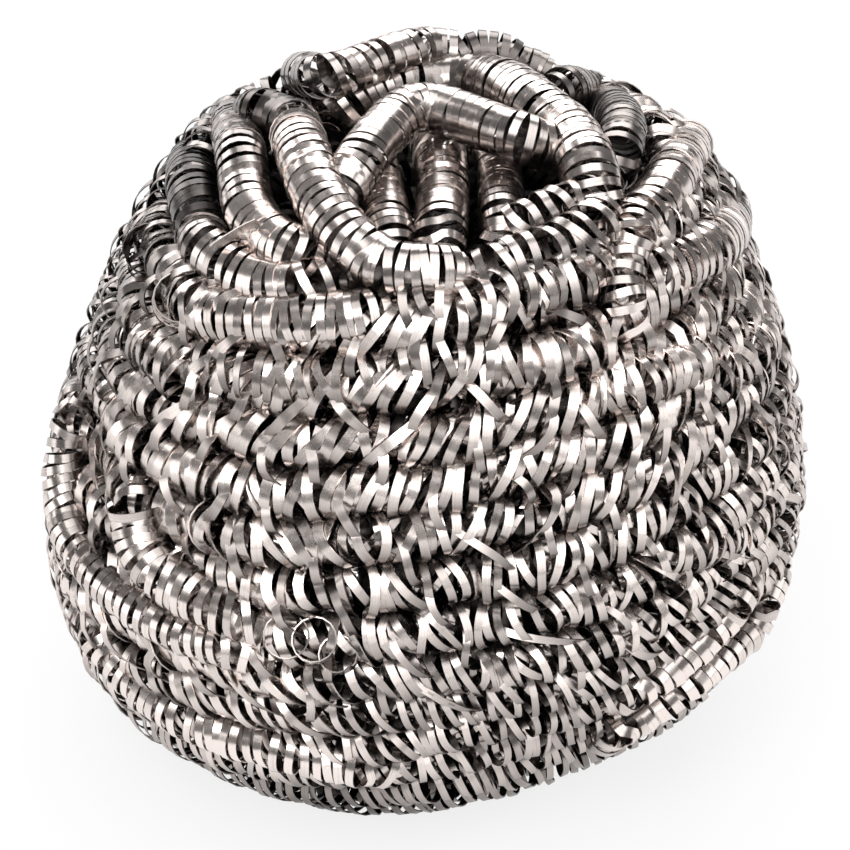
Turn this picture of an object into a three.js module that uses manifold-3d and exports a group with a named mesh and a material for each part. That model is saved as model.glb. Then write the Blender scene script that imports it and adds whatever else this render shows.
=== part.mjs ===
// A stainless steel scourer: one long coil of flat ribbon, like a slack spring, wound row upon row
// into a ball. The rows roll over a rim into the open hole of a nest at the top, where loose loops of
// the same coil lie. Millimetres, +Z up, standing on Z = 0 with its middle over the origin.
import * as THREE from "three";
import { mergeVertices } from "three/addons/utils/BufferGeometryUtils.js";
import Module from "manifold-3d";

// The ball
const ballDiameter = 70;
const ballHeight = 63;
const waistHeight = 26;
const rimDiameter = 27;
const footDiameter = 33;
const footPress = 1.0;
// How full the shoulder is between the rim and the waist: 0.55 would be a quarter of an ellipse.
const shoulderFullness = 0.48;

// The nest at the top
const holeDiameter = 20;
const nestDepth = 12;
const loopSpacing = 7.4;
const loopReach = 12;
const loopDrop = 10;
const archReach = 11.5;
const archBack = 4;
const archDrop = 0.4;

// The coil and its turns of ribbon
const coilDiameter = 4.8;
const rowPitch = 4.4;
const rowFlat = 2.0;
const grooveDepth = 2.2;
const turnPitch = 3.4;
const turnRelief = 1.0;
const turnLean = 1.3;
const fewestTurnsInARow = 9;
const looseCoilSides = 8;

// The two loose ends of the coil, which lie in the grooves between the rows. Their angles are
// counted the way the coil is wound: clockwise from +X, seen from above.
const looseEndLength = 26;
const frontEndAngle = 154;
const frontEndDepth = 10;
const backEndAngle = 306;
const backEndDepth = 5;

const wasm = await Module();
wasm.setup();

const coilRadius = coilDiameter / 2;
const rimHeight = ballHeight - coilRadius;
const holeFloor = rimHeight - nestDepth;
const fullTurn = 2 * Math.PI;
// A turn of ribbon rises slowly from under its neighbour, then drops back past its own free edge.
const riseShare = 0.72;

// The middle of the wound coil, seen in section: out of the hole, over the rim, down the side and
// in under the foot.
function windingProfile() {
  const coilReach = ballDiameter / 2 - coilRadius;
  const rim = rimDiameter / 2;
  const foot = footDiameter / 2;
  const footHeight = coilRadius - footPress;
  const path = new THREE.Path();
  path.absellipse(rim, holeFloor, rim - holeDiameter / 2, nestDepth, Math.PI, Math.PI / 2, true);
  path.bezierCurveTo(
    rim + shoulderFullness * (coilReach - rim), rimHeight,
    coilReach, waistHeight + shoulderFullness * (rimHeight - waistHeight),
    coilReach, waistHeight,
  );
  path.absellipse(foot, waistHeight, coilReach - foot, waistHeight - footHeight, 0, -Math.PI / 2, true);
  path.lineTo(coilRadius, footHeight);
  return path;
}

const profile = windingProfile();
const profileLength = profile.getLength();

// A point at a distance along the profile, raised from the coil's middle, and turned clockwise about
// the axis. What would reach below the table is pressed flat against it.
function woundPoint(distance, height, angle) {
  const share = THREE.MathUtils.clamp(distance / profileLength, 0, 1);
  const middle = profile.getPoint(share);
  const along = profile.getTangent(share);
  const radius = middle.x - along.y * height;
  const level = Math.max(middle.y + along.x * height, 0);
  return new THREE.Vector3(radius * Math.cos(angle), -radius * Math.sin(angle), level);
}

// The distance along the profile of a line that runs beside the middle of the wound row.
function rowDistance(angle, across) {
  return rowPitch * (0.5 + angle / fullTurn) + across;
}

// Where each turn of ribbon starts, as an angle that grows along the whole winding.
function turnAngles() {
  const lastAngle = fullTurn * (profileLength / rowPitch - 1);
  const widestTurn = fullTurn / fewestTurnsInARow;
  const angles = [0];
  let angle = 0;
  while (angle < lastAngle) {
    const crest = woundPoint(rowDistance(angle, 0), coilRadius, 0);
    angle = Math.min(angle + Math.min(turnPitch / crest.x, widestTurn), lastAngle);
    angles.push(angle);
  }
  return angles;
}

// A line of points along the winding. Each has the angle it is joined up by and its vertex number.
function windingLine(vertices, steps, across, lean) {
  return steps.map(({ angle, height }) => {
    const radius = woundPoint(rowDistance(angle, 0), coilRadius, 0).x;
    const placed = angle + lean / radius;
    const number = vertices.push(woundPoint(rowDistance(placed, across), height, placed)) - 1;
    return { angle, number };
  });
}

// Triangles between two lines of points, always stepping along the line that lags behind.
function stitch(triangles, upper, lower) {
  let i = 0;
  let j = 0;
  while (i < upper.length - 1 || j < lower.length - 1) {
    const upperNext = i < upper.length - 1 ? upper[i + 1].angle : Infinity;
    const lowerNext = j < lower.length - 1 ? lower[j + 1].angle : Infinity;
    if (upperNext <= lowerNext) {
      triangles.push(lower[j].number, upper[i].number, upper[i + 1].number);
      i += 1;
    } else {
      triangles.push(lower[j].number, upper[i].number, lower[j + 1].number);
      j += 1;
    }
  }
}

// Triangles from one point to each step of a chain of points.
function fan(triangles, point, chain) {
  for (let i = 0; i < chain.length - 1; i += 1) {
    triangles.push(point, chain[i + 1].number, chain[i].number);
  }
}

// The wound ball: two shoulders and a groove follow the winding, and each groove also borders the
// next row down. A point on the axis closes the hole at the top and the foot.
function woundBall() {
  const turns = turnAngles();
  const ridged = [];
  const grooved = [];
  turns.forEach((angle, i) => {
    const next = turns[i + 1];
    ridged.push({ angle, height: coilRadius - turnRelief });
    grooved.push({ angle, height: coilRadius - grooveDepth });
    if (next !== undefined) {
      ridged.push({ angle: angle + riseShare * (next - angle), height: coilRadius });
    }
  });
  const vertices = [];
  const triangles = [];
  const upper = windingLine(vertices, ridged, -rowFlat / 2, turnLean / 2);
  const lower = windingLine(vertices, ridged, rowFlat / 2, -turnLean / 2);
  const groove = windingLine(vertices, grooved, rowPitch / 2, -turnLean / 2);

  const lastAngle = turns[turns.length - 1];
  const below = upper.filter(({ angle }) => angle >= fullTurn);
  const above = groove.filter(({ angle }) => angle <= lastAngle - fullTurn);
  stitch(triangles, upper, lower);
  stitch(triangles, lower, groove);
  stitch(triangles, above, below.map(({ angle, number }) => ({ angle: angle - fullTurn, number })));

  const holeEdge = upper.slice(0, upper.indexOf(below[0]) + 1);
  const footEdge = groove.slice(above.length - 1);
  const holePoint = vertices.push(new THREE.Vector3(0, 0, holeFloor)) - 1;
  const footPoint = vertices.push(new THREE.Vector3(0, 0, 0)) - 1;
  fan(triangles, holePoint, holeEdge);
  fan(triangles, holePoint, [below[0], groove[0], lower[0], upper[0]]);
  fan(triangles, footPoint, [...footEdge].reverse());
  fan(triangles, footPoint, [above.at(-1), below.at(-1), lower.at(-1), groove.at(-1)]);
  return solidFrom(vertices.flatMap((point) => point.toArray()), triangles);
}

// A free length of the coil: its turns are revolved as a straight bar, which is then bent along a
// curve. The side direction stays across the curve all the way.
function looseCoil(curve, sideAt) {
  const length = curve.getLength();
  const turns = Math.round(length / turnPitch);
  const step = length / turns;
  const outline = [new THREE.Vector2(0, 0)];
  for (let i = 0; i < turns; i += 1) {
    outline.push(new THREE.Vector2(coilRadius - turnRelief, i * step));
    outline.push(new THREE.Vector2(coilRadius, (i + riseShare) * step));
  }
  outline.push(new THREE.Vector2(coilRadius - turnRelief, length), new THREE.Vector2(0, length));
  const bar = new THREE.LatheGeometry(outline, looseCoilSides);
  bar.deleteAttribute("normal");
  bar.deleteAttribute("uv");
  const points = bar.attributes.position;
  for (let i = 0; i < points.count; i += 1) {
    const share = THREE.MathUtils.clamp(points.getY(i) / length, 0, 1);
    const along = curve.getTangentAt(share);
    const side = sideAt(share);
    const rise = new THREE.Vector3().crossVectors(side, along);
    const place = curve.getPointAt(share);
    place.addScaledVector(side, points.getX(i));
    place.addScaledVector(rise, points.getZ(i));
    points.setXYZ(i, place.x, place.y, place.z);
  }
  const merged = mergeVertices(bar);
  return solidFrom(merged.attributes.position.array, merged.index.array);
}

// A loop of the nest: out of one wall of the hole, over a middle place and into the other wall.
function nestLoop(start, middle, end) {
  const curve = new THREE.CatmullRomCurve3([start, middle, end]);
  const up = new THREE.Vector3(0, 0, 1);
  const side = new THREE.Vector3().subVectors(end, start).cross(up).normalize();
  return looseCoil(curve, () => side);
}

// A loop that lies deep in the hole from front to back.
function lowLoop(x) {
  return nestLoop(
    new THREE.Vector3(x, -loopReach, holeFloor),
    new THREE.Vector3(x, 0, rimHeight - loopDrop),
    new THREE.Vector3(x, loopReach, holeFloor),
  );
}

// The loop that bridges the hole from side to side, behind its middle, and leaves the front open.
function archLoop() {
  return nestLoop(
    new THREE.Vector3(-archReach, archBack, holeFloor),
    new THREE.Vector3(0, archBack, rimHeight - archDrop),
    new THREE.Vector3(archReach, archBack, holeFloor),
  );
}

// A loose end of the coil, lying in a groove of the ball at a depth below the middle of the rim.
function looseEnd(startAngle, depth) {
  const rimDistance = profile.getCurveLengths()[0];
  const row = Math.round((rimDistance + depth) / rowPitch);
  const start = THREE.MathUtils.degToRad(startAngle);
  const radius = woundPoint(row * rowPitch, coilRadius, 0).x;
  const sweep = looseEndLength / radius;
  const spots = [0, 1 / 3, 2 / 3, 1].map((share) => {
    const angle = start + share * sweep;
    const sunk = THREE.MathUtils.lerp(coilRadius, coilRadius - grooveDepth, share);
    return woundPoint(rowPitch * (row + angle / fullTurn), sunk, angle);
  });
  const curve = new THREE.CatmullRomCurve3(spots);
  const up = new THREE.Vector3(0, 0, 1);
  return looseCoil(curve, (share) => curve.getTangentAt(share).cross(up).normalize());
}

function solidFrom(positions, numbers) {
  const kept = [];
  for (let i = 0; i < numbers.length; i += 3) {
    const [a, b, c] = numbers.slice(i, i + 3);
    if (a !== b && b !== c && c !== a) {
      kept.push(a, b, c);
    }
  }
  const mesh = new wasm.Mesh({
    numProp: 3,
    vertProperties: new Float32Array(positions),
    triVerts: new Uint32Array(kept),
  });
  return new wasm.Manifold(mesh);
}

// The outside alone: pockets that the loops shut off between themselves and the rows are filled.
function outerSkin(solid) {
  return solid.decompose().reduce((most, piece) => (piece.volume() > most.volume() ? piece : most));
}

function geometryFrom(solid) {
  const mesh = solid.getMesh();
  const geometry = new THREE.BufferGeometry();
  geometry.setAttribute("position", new THREE.BufferAttribute(mesh.vertProperties, mesh.numProp));
  geometry.setIndex(new THREE.BufferAttribute(mesh.triVerts, 1));
  return geometry;
}

const steel = new THREE.MeshStandardMaterial({ color: 0xa8a29e, metalness: 1, roughness: 0.35 });

const wound = woundBall()
  .add(lowLoop(-loopSpacing / 2))
  .add(lowLoop(loopSpacing / 2))
  .add(archLoop())
  .add(looseEnd(frontEndAngle, frontEndDepth))
  .add(looseEnd(backEndAngle, backEndDepth));

const scourer = new THREE.Mesh(geometryFrom(outerSkin(wound)), steel);
scourer.name = "scourer";

const part = new THREE.Group();
part.add(scourer);

export default part;
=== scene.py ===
# %% [markdown]
# # A scourer wound from one steel ribbon
# The real thing is a flat ribbon of stainless steel, less than a millimetre wide, that was curled into
# a long slack coil. The coil was then wound on itself into a ball, with a nest of loops at the top.
# This lesson builds the ball the same way: first a path for the coil, then the ribbon's turns round it.

# %% Load the solid model that the looks are fitted to
import math

import bpy
import numpy as np
from mathutils import Matrix, Vector, noise


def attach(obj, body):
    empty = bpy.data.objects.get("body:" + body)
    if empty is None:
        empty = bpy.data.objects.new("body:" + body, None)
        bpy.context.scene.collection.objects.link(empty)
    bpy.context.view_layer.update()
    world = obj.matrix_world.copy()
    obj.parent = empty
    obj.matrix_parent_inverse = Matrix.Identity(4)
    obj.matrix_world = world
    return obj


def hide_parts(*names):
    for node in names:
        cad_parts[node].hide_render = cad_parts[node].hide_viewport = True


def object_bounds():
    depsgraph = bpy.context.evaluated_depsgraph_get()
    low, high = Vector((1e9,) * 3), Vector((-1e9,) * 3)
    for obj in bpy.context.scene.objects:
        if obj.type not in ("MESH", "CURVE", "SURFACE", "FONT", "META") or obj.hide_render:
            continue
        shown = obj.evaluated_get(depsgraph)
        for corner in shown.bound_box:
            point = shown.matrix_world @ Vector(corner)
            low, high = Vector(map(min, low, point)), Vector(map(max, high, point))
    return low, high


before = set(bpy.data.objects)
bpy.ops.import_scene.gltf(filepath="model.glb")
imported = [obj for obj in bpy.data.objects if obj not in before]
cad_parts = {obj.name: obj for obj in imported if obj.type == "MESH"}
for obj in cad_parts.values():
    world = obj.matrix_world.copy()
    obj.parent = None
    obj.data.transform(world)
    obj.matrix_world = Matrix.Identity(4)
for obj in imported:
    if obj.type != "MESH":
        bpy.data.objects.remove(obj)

CAD_LOW, CAD_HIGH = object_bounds()
scene = bpy.context.scene
print("solid model from", tuple(CAD_LOW), "to", tuple(CAD_HIGH))

# %% [markdown]
# ## Sizes
# The overall box comes from the solid. The coil and its ribbon were measured against the ball's width
# in the photograph: the coil is about a fifteenth of it and the ribbon about a ninetieth.

# %% Driving sizes, in metres
MM = 0.001
BALL_RADIUS = (CAD_HIGH.x - CAD_LOW.x) / 2
BALL_HEIGHT = CAD_HIGH.z - CAD_LOW.z
COIL_RADIUS = 2.3 * MM
RIBBON_WIDTH = 0.76 * MM
RIBBON_THICKNESS = 0.12 * MM
ROW_PITCH = 4.35 * MM
WAIST_HEIGHT = 26 * MM
RIM_RADIUS = 13 * MM
FOOT_RADIUS = 16.5 * MM
SHOULDER_CURVE = 1.8
FLANK_CURVE = 2
COIL_REACH = BALL_RADIUS - COIL_RADIUS
RIM_HEIGHT = BALL_HEIGHT - COIL_RADIUS
print(f"coil {2 * COIL_RADIUS / MM:.1f} mm across in rows {ROW_PITCH / MM:.2f} mm apart")

# %% [markdown]
# ## The camera
# The photograph looks down on the ball from in front. The camera comes early here, because the loops
# of the nest are laid where they lie in the photograph: a pixel becomes a ray, and the ray is
# followed until it meets the ball.

# %% Camera
PHOTO_SIDE = 850
CAMERA_ELEVATION = math.radians(34)
CAMERA_DISTANCE = 300 * MM
VIEW_WIDTH = 79.0 * MM
AIM_HEIGHT = 29.3 * MM
SENSOR_WIDTH = 36.0

view_ahead = Vector((0, math.cos(CAMERA_ELEVATION), -math.sin(CAMERA_ELEVATION)))
view_right = Vector((1, 0, 0))
view_up = view_right.cross(view_ahead)
camera_place = Vector((0, 0, AIM_HEIGHT)) - view_ahead * CAMERA_DISTANCE

camera_data = bpy.data.cameras.new("camera")
camera_data.sensor_width = SENSOR_WIDTH
camera_data.lens = SENSOR_WIDTH * CAMERA_DISTANCE / VIEW_WIDTH
camera = bpy.data.objects.new("camera", camera_data)
camera.matrix_world = Matrix((view_right, view_up, -view_ahead)).transposed().to_4x4()
camera.location = camera_place
scene.collection.objects.link(camera)
scene.camera = camera
print(f"camera at {tuple(round(v, 4) for v in camera_place)}, lens {camera_data.lens:.1f} mm")

# %% [markdown]
# ## From the photograph to the ball
# A real ball isn't even: it leans, and it gives way where it was squeezed. These places, and the loops
# of the coil, are read off the photograph, so a pixel has to become a place on the ball. Blender could
# cast a ray at the solid, but each length of coil lies at its own height over it. A formula for the
# ball, raised by any height, does instead: a ray from the camera is followed in small steps until it
# is inside. A pixel beside the outline takes the nearest place on the edge.

# %% From a pixel of the photograph to a place on the ball
RAY_STEP = 0.1 * MM
RAY_START = 240 * MM
RAY_END = 360 * MM
BALL_MIDDLE = Vector((0, 0, WAIST_HEIGHT))
LEANING = 0.04
dents = []


def leaned(place):
    """The ball leans a little to the right, so its foot stands left of its nest."""
    return Vector(((place.z - BALL_HEIGHT / 2) * LEANING, 0, 0))


def amount_at(place, spots):
    """What soft-edged spots add up to at a place. A spot is its middle, its spread and its amount."""
    return sum(
        amount * math.exp(-(place - middle).length_squared / (2 * spread ** 2))
        for middle, spread, amount in spots
    )


def inside_ball(place, lift):
    """Whether a place is inside the surface that the coil's middle lies on, raised by lift."""
    place = place - leaned(place)
    lift += amount_at(place, dents)
    top = RIM_HEIGHT + lift
    if place.z > top or place.z < 0:
        return False
    if place.z > WAIST_HEIGHT:
        share = (place.z - WAIST_HEIGHT) / (top - WAIST_HEIGHT)
        neck = RIM_RADIUS
        curve = SHOULDER_CURVE
    else:
        share = (WAIST_HEIGHT - place.z) / (WAIST_HEIGHT + lift)
        neck = FOOT_RADIUS
        curve = FLANK_CURVE
    reach = neck + (COIL_REACH + lift - neck) * max(1 - share ** curve, 0) ** (1 / curve)
    return place.xy.length < reach


def on_ball(x, y, lift=0):
    """The nearest place on the raised surface that the photograph shows at pixel x, y."""
    middle = PHOTO_SIDE / 2
    across = (x - middle) / PHOTO_SIDE * VIEW_WIDTH / CAMERA_DISTANCE
    up = (middle - y) / PHOTO_SIDE * VIEW_WIDTH / CAMERA_DISTANCE
    ray = view_ahead + across * view_right + up * view_up
    distance = RAY_START
    while distance < RAY_END:
        place = camera_place + ray * distance
        if inside_ball(place, lift):
            return place
        distance += RAY_STEP
    beside = ray.dot(BALL_MIDDLE - camera_place) / ray.length_squared
    place = camera_place + ray * beside
    while not inside_ball(place, lift):
        place += (BALL_MIDDLE - place).normalized() * RAY_STEP
    return place


def spots_on_ball(marks):
    """Spots from marks on the photograph: a pixel's x and y, the spot's spread and its amount."""
    return [(on_ball(x, y), spread, amount) for x, y, spread, amount in marks.values()]


# %% Dents and bumps of the ball, and valleys between its rows
WIDE_DENT = 13 * MM
SMALL_DENT = 6 * MM
VALLEY = 4 * MM
dents += spots_on_ball({
    "low on the right": (650, 712, WIDE_DENT, -0.5 * MM),
    "foot, right of the middle": (560, 770, WIDE_DENT, -1.1 * MM),
    "left edge": (80, 540, WIDE_DENT, 1.3 * MM),
    "right edge": (790, 450, WIDE_DENT, 1.1 * MM),
    "low on the left": (200, 735, SMALL_DENT, 0.5 * MM),
    "low on the right edge": (720, 675, SMALL_DENT, 0.9 * MM),
    "left shoulder": (110, 280, WIDE_DENT, -2.1 * MM),
    "right shoulder": (745, 240, WIDE_DENT, -1.4 * MM),
    "back of the nest, left": (270, 70, WIDE_DENT, 0.2 * MM),
    "back of the nest, right": (620, 85, WIDE_DENT, -0.6 * MM),
    "above the right shoulder": (692, 145, SMALL_DENT, 1.8 * MM),
})
valleys = spots_on_ball({
    "inside the left side, upper": (100, 430, VALLEY, -1.6 * MM),
    "inside the left side, lower": (102, 475, VALLEY, -1.6 * MM),
    "inside the left stub": (180, 545, VALLEY, -1.4 * MM),
})
photo_middle = on_ball(PHOTO_SIDE / 2, PHOTO_SIDE / 2)
print("the middle of the photograph meets the ball at", tuple(round(v, 4) for v in photo_middle))

# %% [markdown]
# ## Paths for the rows
# A strand is the middle line of a length of coil, with the way out of the ball at each point. The rows
# follow one rule: a spiral down the section of the ball, from the rim of the nest to the middle of
# the foot. A real ball is wound by a machine from springy coil, so each row wanders a little.

# %% The section of the ball, as lengths down from the rim
ARC_STEPS = 400
FOOT_END = 0.6 * COIL_RADIUS


def arc(middle_radius, reach, middle_height, rise, curve):
    """A quarter of an oval from its tip to its widest place. A curve under 2 makes it leaner."""
    turn = np.radians(np.linspace(90, 0, ARC_STEPS))
    radius = middle_radius + reach * np.abs(np.cos(turn)) ** (2 / curve)
    height = middle_height + rise * np.abs(np.sin(turn)) ** (2 / curve)
    return np.column_stack([radius, height])


def ball_section(depth):
    """Points, lengths and outward ways down a section that lies depth inside the outer rows."""
    reach = COIL_REACH - depth
    top = RIM_HEIGHT - depth
    bottom = COIL_RADIUS + depth
    shoulder = arc(RIM_RADIUS, reach - RIM_RADIUS, WAIST_HEIGHT, top - WAIST_HEIGHT, SHOULDER_CURVE)
    flank = arc(FOOT_RADIUS, reach - FOOT_RADIUS, WAIST_HEIGHT, bottom - WAIST_HEIGHT, FLANK_CURVE)
    foot = np.array([[FOOT_END, bottom]])
    line = np.vstack([shoulder, flank[::-1][1:], foot])
    steps = np.diff(line, axis=0)
    length = np.concatenate([[0], np.cumsum(np.hypot(*steps.T))])
    way = np.gradient(line, axis=0)
    way /= np.linalg.norm(way, axis=1, keepdims=True)
    return line, length, np.column_stack([-way[:, 1], way[:, 0]])


def section_end(section):
    """The length of a section from the rim to the middle of the foot."""
    return section[1][-1]


def down_section(section, distance):
    """Radius, height and the two parts of the outward way at a length down a section."""
    line, length, outward = section
    return [np.interp(distance, length, column) for column in (*line.T, *outward.T)]


outer_section = ball_section(0)
SECTION_LENGTH = section_end(outer_section)
print(f"section {SECTION_LENGTH / MM:.0f} mm long, {SECTION_LENGTH / ROW_PITCH:.1f} rows")

# %% A spiral strand that wanders and tilts
STRAND_STEP = 1.2 * MM
FOOT_LIFT = 1.25 * COIL_RADIUS
TILT_TOP = 1.0 * MM
TILT_WAIST = 2.8 * MM
TILT_SHARE = 0.35
BROAD_DRIFT = 26 * MM
FINE_DRIFT = 8 * MM
FINE_SHARE = 0.5
FINE_SEED = 4
PROUD_DRIFT = 14 * MM
PROUD_SHARE = 0.6
PROUD_SEED = 9
SEED_WAY = (1.0, 2.3, -1.7)


def wander(place, scale, seed):
    """Smooth unevenness between about -1 and 1, fixed by the place and the seed."""
    return noise.noise(place / scale + Vector([seed * way for way in SEED_WAY]))


def pressed(place, outward):
    """Where a point of an even ball lies on the real one, which leans and is dented in places."""
    return place + outward * (amount_at(place, dents) + amount_at(place, valleys)) + leaned(place)


def spiral_strand(section, first, last, row_pitch, start_angle, unevenness, seed):
    """A coil wound clockwise down a section between two lengths, as points and outward directions."""
    places, outwards, lengths = [], [], []
    end = section_end(section)
    angle = 0.0
    wound = first
    while wound <= last:
        turned = start_angle - angle
        around = Vector((math.cos(turned), math.sin(turned), 0))
        tilt = TILT_TOP + (TILT_WAIST - TILT_TOP) * min(wound / (TILT_SHARE * end), 1)
        level = wound - tilt * math.cos(turned)
        radius, height = down_section(section, level)[:2]
        even = around * radius + Vector((0, 0, height))
        fine = FINE_SHARE * wander(even, FINE_DRIFT, seed + FINE_SEED)
        sideways = unevenness * (wander(even, BROAD_DRIFT, seed) + fine)
        proud = PROUD_SHARE * unevenness * wander(even, PROUD_DRIFT, seed + PROUD_SEED)
        moved = np.clip(level + sideways, 0, end)
        radius, height, out_r, out_z = down_section(section, moved)
        outward = around * out_r + Vector((0, 0, out_z))
        place = pressed(around * radius + Vector((0, 0, height)) + outward * proud, outward)
        place.z = max(place.z, FOOT_LIFT)
        places.append(place)
        outwards.append(outward)
        lengths.append(moved)
        angle += STRAND_STEP / max(radius, STRAND_STEP)
        wound = first + row_pitch * angle / (2 * math.pi)
    return {"places": places, "outwards": outwards, "lengths": lengths}


# %% [markdown]
# ## Paths that follow the photograph
# The loops of the nest and the lengths that lie across the rows follow no rule, so each is traced. A few
# pixels along the middle of the coil are put on the ball, lifted to the height at which the length
# lies, and joined by a smooth line. Towards both ends the coil draws in, because an open tube would
# show its inside.

# %% A strand traced over the photograph
TRACE_STEP = 0.8 * MM
END_TAPER = 2.4 * MM
END_SHARE = 0.35


def smooth_line(points):
    """A smooth line through points, in even steps."""
    points = [2 * points[0] - points[1], *points, 2 * points[-1] - points[-2]]
    line = []
    for before, a, b, after in zip(points, points[1:], points[2:], points[3:]):
        count = max(2, round((b - a).length / TRACE_STEP))
        for share in np.linspace(0, 1, count, endpoint=False):
            t = float(share)
            line.append(0.5 * (
                2 * a + (b - before) * t
                + (2 * before - 5 * a + 4 * b - after) * t * t
                + (3 * a - before - 3 * b + after) * t * t * t
            ))
    return line + [points[-2]]


def traced_strand(pixels, lift, radius, pitch, width=1.0):
    """A strand through pixels of the photograph. A pixel's third number lifts it further, in mm."""
    places = smooth_line([on_ball(x, y, lift + sum(extra) * MM) for x, y, *extra in pixels])
    last = len(places) - 1
    from_end = [min(i, last - i) * TRACE_STEP for i in range(len(places))]
    return {
        "places": places,
        "outwards": [(place - BALL_MIDDLE).normalized() for place in places],
        "radius": [radius * min(1, END_SHARE + (1 - END_SHARE) * far / END_TAPER) for far in from_end],
        "pitch": pitch,
        "lean": 0.0,
        "width": width,
    }


def traced_strands(traces, width=1.0):
    return [traced_strand(**trace, width=width) for trace in traces.values()]


# %% [markdown]
# ## The ribbon's turns
# Every length of coil is the same thing: a ribbon that circles a strand. Modelling thousands of turns
# by hand is out of the question, and an array would give them all one shape. A Geometry Nodes tree
# does it by a rule: it walks along the strand, adds up the angle, swings a point round the strand by
# that angle, and sweeps a thin flat section along the result with its flat side facing out.

# %% Helpers that add a node and wire it up
def add_node(tree, kind, inputs=None, **settings):
    made = tree.nodes.new(kind)
    for name, value in settings.items():
        setattr(made, name, value)
    for key, value in (inputs or {}).items():
        socket = made.inputs[key]
        if isinstance(value, bpy.types.NodeSocket):
            tree.links.new(value, socket)
        else:
            socket.default_value = value
    return made


def maths(tree, operation, a, b=0.0):
    return add_node(tree, "ShaderNodeMath", {0: a, 1: b}, operation=operation).outputs[0]


def vectors(tree, operation, a, b=(0, 0, 0)):
    return add_node(tree, "ShaderNodeVectorMath", {0: a, 1: b}, operation=operation).outputs[0]


def vectors_to_number(tree, operation, a, b=(0, 0, 0)):
    node = add_node(tree, "ShaderNodeVectorMath", {0: a, 1: b}, operation=operation)
    return node.outputs["Value"]


def scaled(tree, vector, factor):
    node = add_node(tree, "ShaderNodeVectorMath", {0: vector, "Scale": factor}, operation="SCALE")
    return node.outputs[0]


def stored(tree, name, kind="FLOAT"):
    node = add_node(tree, "GeometryNodeInputNamedAttribute", {"Name": name}, data_type=kind)
    return node.outputs["Attribute"]


def store(tree, geometry, name, value, kind="FLOAT"):
    inputs = {"Geometry": geometry, "Name": name, "Value": value}
    node = add_node(tree, "GeometryNodeStoreNamedAttribute", inputs, data_type=kind, domain="POINT")
    return node.outputs[0]


# %% Unevenness of the turns
SEED_STRIDE = 17.31
UNEVEN_DETAIL = 1.0
# How quickly each kind changes, per millimetre or per turn, and where on its noise it starts
SLACK_NOISE = (0.21, 3.1)
SWELL_NOISE = (0.55, 11.7)
LEAN_NOISE = (0.6, 23.9)
ARCH_NOISE = (0.15, 57.1)
TWIST_NOISE = (0.6, 41.3)


def uneven(tree, along, seed, noise_values, amount):
    """Noise between -1 and 1 along a one-way coordinate, times an amount."""
    scale, offset = noise_values
    start = maths(tree, "MULTIPLY_ADD", seed, SEED_STRIDE)
    start.node.inputs[2].default_value = offset
    inputs = {"W": maths(tree, "ADD", along, start), "Scale": scale, "Detail": UNEVEN_DETAIL}
    node = add_node(tree, "ShaderNodeTexNoise", inputs, noise_dimensions="1D", normalize=False)
    return maths(tree, "MULTIPLY", node.outputs[0], amount)


# %% The ribbon's path round a strand
def ribbon_path(tree, given):
    """A curve that swings round the strand, with the way its flat side faces set on each point."""
    seed = given["Seed"]
    strand = add_node(tree, "GeometryNodeMeshToCurve", {"Mesh": given["Strand"]}).outputs[0]
    inputs = {"Curve": strand, "Length": given["Step"]}
    strand = add_node(tree, "GeometryNodeResampleCurve", inputs, mode="LENGTH").outputs[0]

    length = add_node(tree, "GeometryNodeSplineParameter").outputs["Length"]
    along = maths(tree, "MULTIPLY", length, 1 / MM)
    slack = uneven(tree, along, seed, SLACK_NOISE, given["Slack"])
    pitch = maths(tree, "MULTIPLY", stored(tree, "strand_pitch"), maths(tree, "ADD", slack, 1.0))
    swing = maths(tree, "DIVIDE", maths(tree, "MULTIPLY", given["Step"], 2 * math.pi), pitch)
    angle = add_node(tree, "GeometryNodeAccumulateField", {"Value": swing}).outputs["Leading"]
    turn = maths(tree, "MULTIPLY", angle, 1 / (2 * math.pi))

    ahead = add_node(tree, "GeometryNodeInputTangent").outputs[0]
    outward = stored(tree, "strand_outward", "FLOAT_VECTOR")
    side = vectors(tree, "NORMALIZE", vectors(tree, "CROSS_PRODUCT", ahead, outward))
    upright = vectors(tree, "CROSS_PRODUCT", side, ahead)
    cosine = maths(tree, "COSINE", angle)
    sine = maths(tree, "SINE", angle)
    radial = vectors(tree, "ADD", scaled(tree, upright, cosine), scaled(tree, side, sine))

    swell = uneven(tree, turn, seed, SWELL_NOISE, given["Swell"])
    radius = maths(tree, "MULTIPLY", stored(tree, "strand_radius"), maths(tree, "ADD", swell, 1.0))
    lean = uneven(tree, turn, seed, LEAN_NOISE, given["Lean"])
    lean = maths(tree, "MULTIPLY", sine, maths(tree, "ADD", lean, stored(tree, "strand_lean")))
    arch = maths(tree, "MULTIPLY", cosine, uneven(tree, turn, seed, ARCH_NOISE, given["Arch"]))
    slant = maths(tree, "MULTIPLY", radius, maths(tree, "ADD", lean, arch))
    twist = uneven(tree, turn, seed, TWIST_NOISE, given["Twist"])
    facing = vectors(tree, "ADD", radial, scaled(tree, ahead, twist))

    marked = store(tree, strand, "strand_facing", facing, "FLOAT_VECTOR")
    marked = store(tree, marked, "ribbon_turn", turn)
    offset = vectors(tree, "ADD", scaled(tree, radial, radius), scaled(tree, ahead, slant))
    path = add_node(tree, "GeometryNodeSetPosition", {"Geometry": marked, "Offset": offset}).outputs[0]
    across = vectors(tree, "CROSS_PRODUCT", ahead, stored(tree, "strand_facing", "FLOAT_VECTOR"))
    squared = vectors(tree, "NORMALIZE", vectors(tree, "CROSS_PRODUCT", across, ahead))
    inputs = {"Curve": path, "Normal": squared}
    return add_node(tree, "GeometryNodeSetCurveNormal", inputs, mode="FREE").outputs[0]


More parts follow.
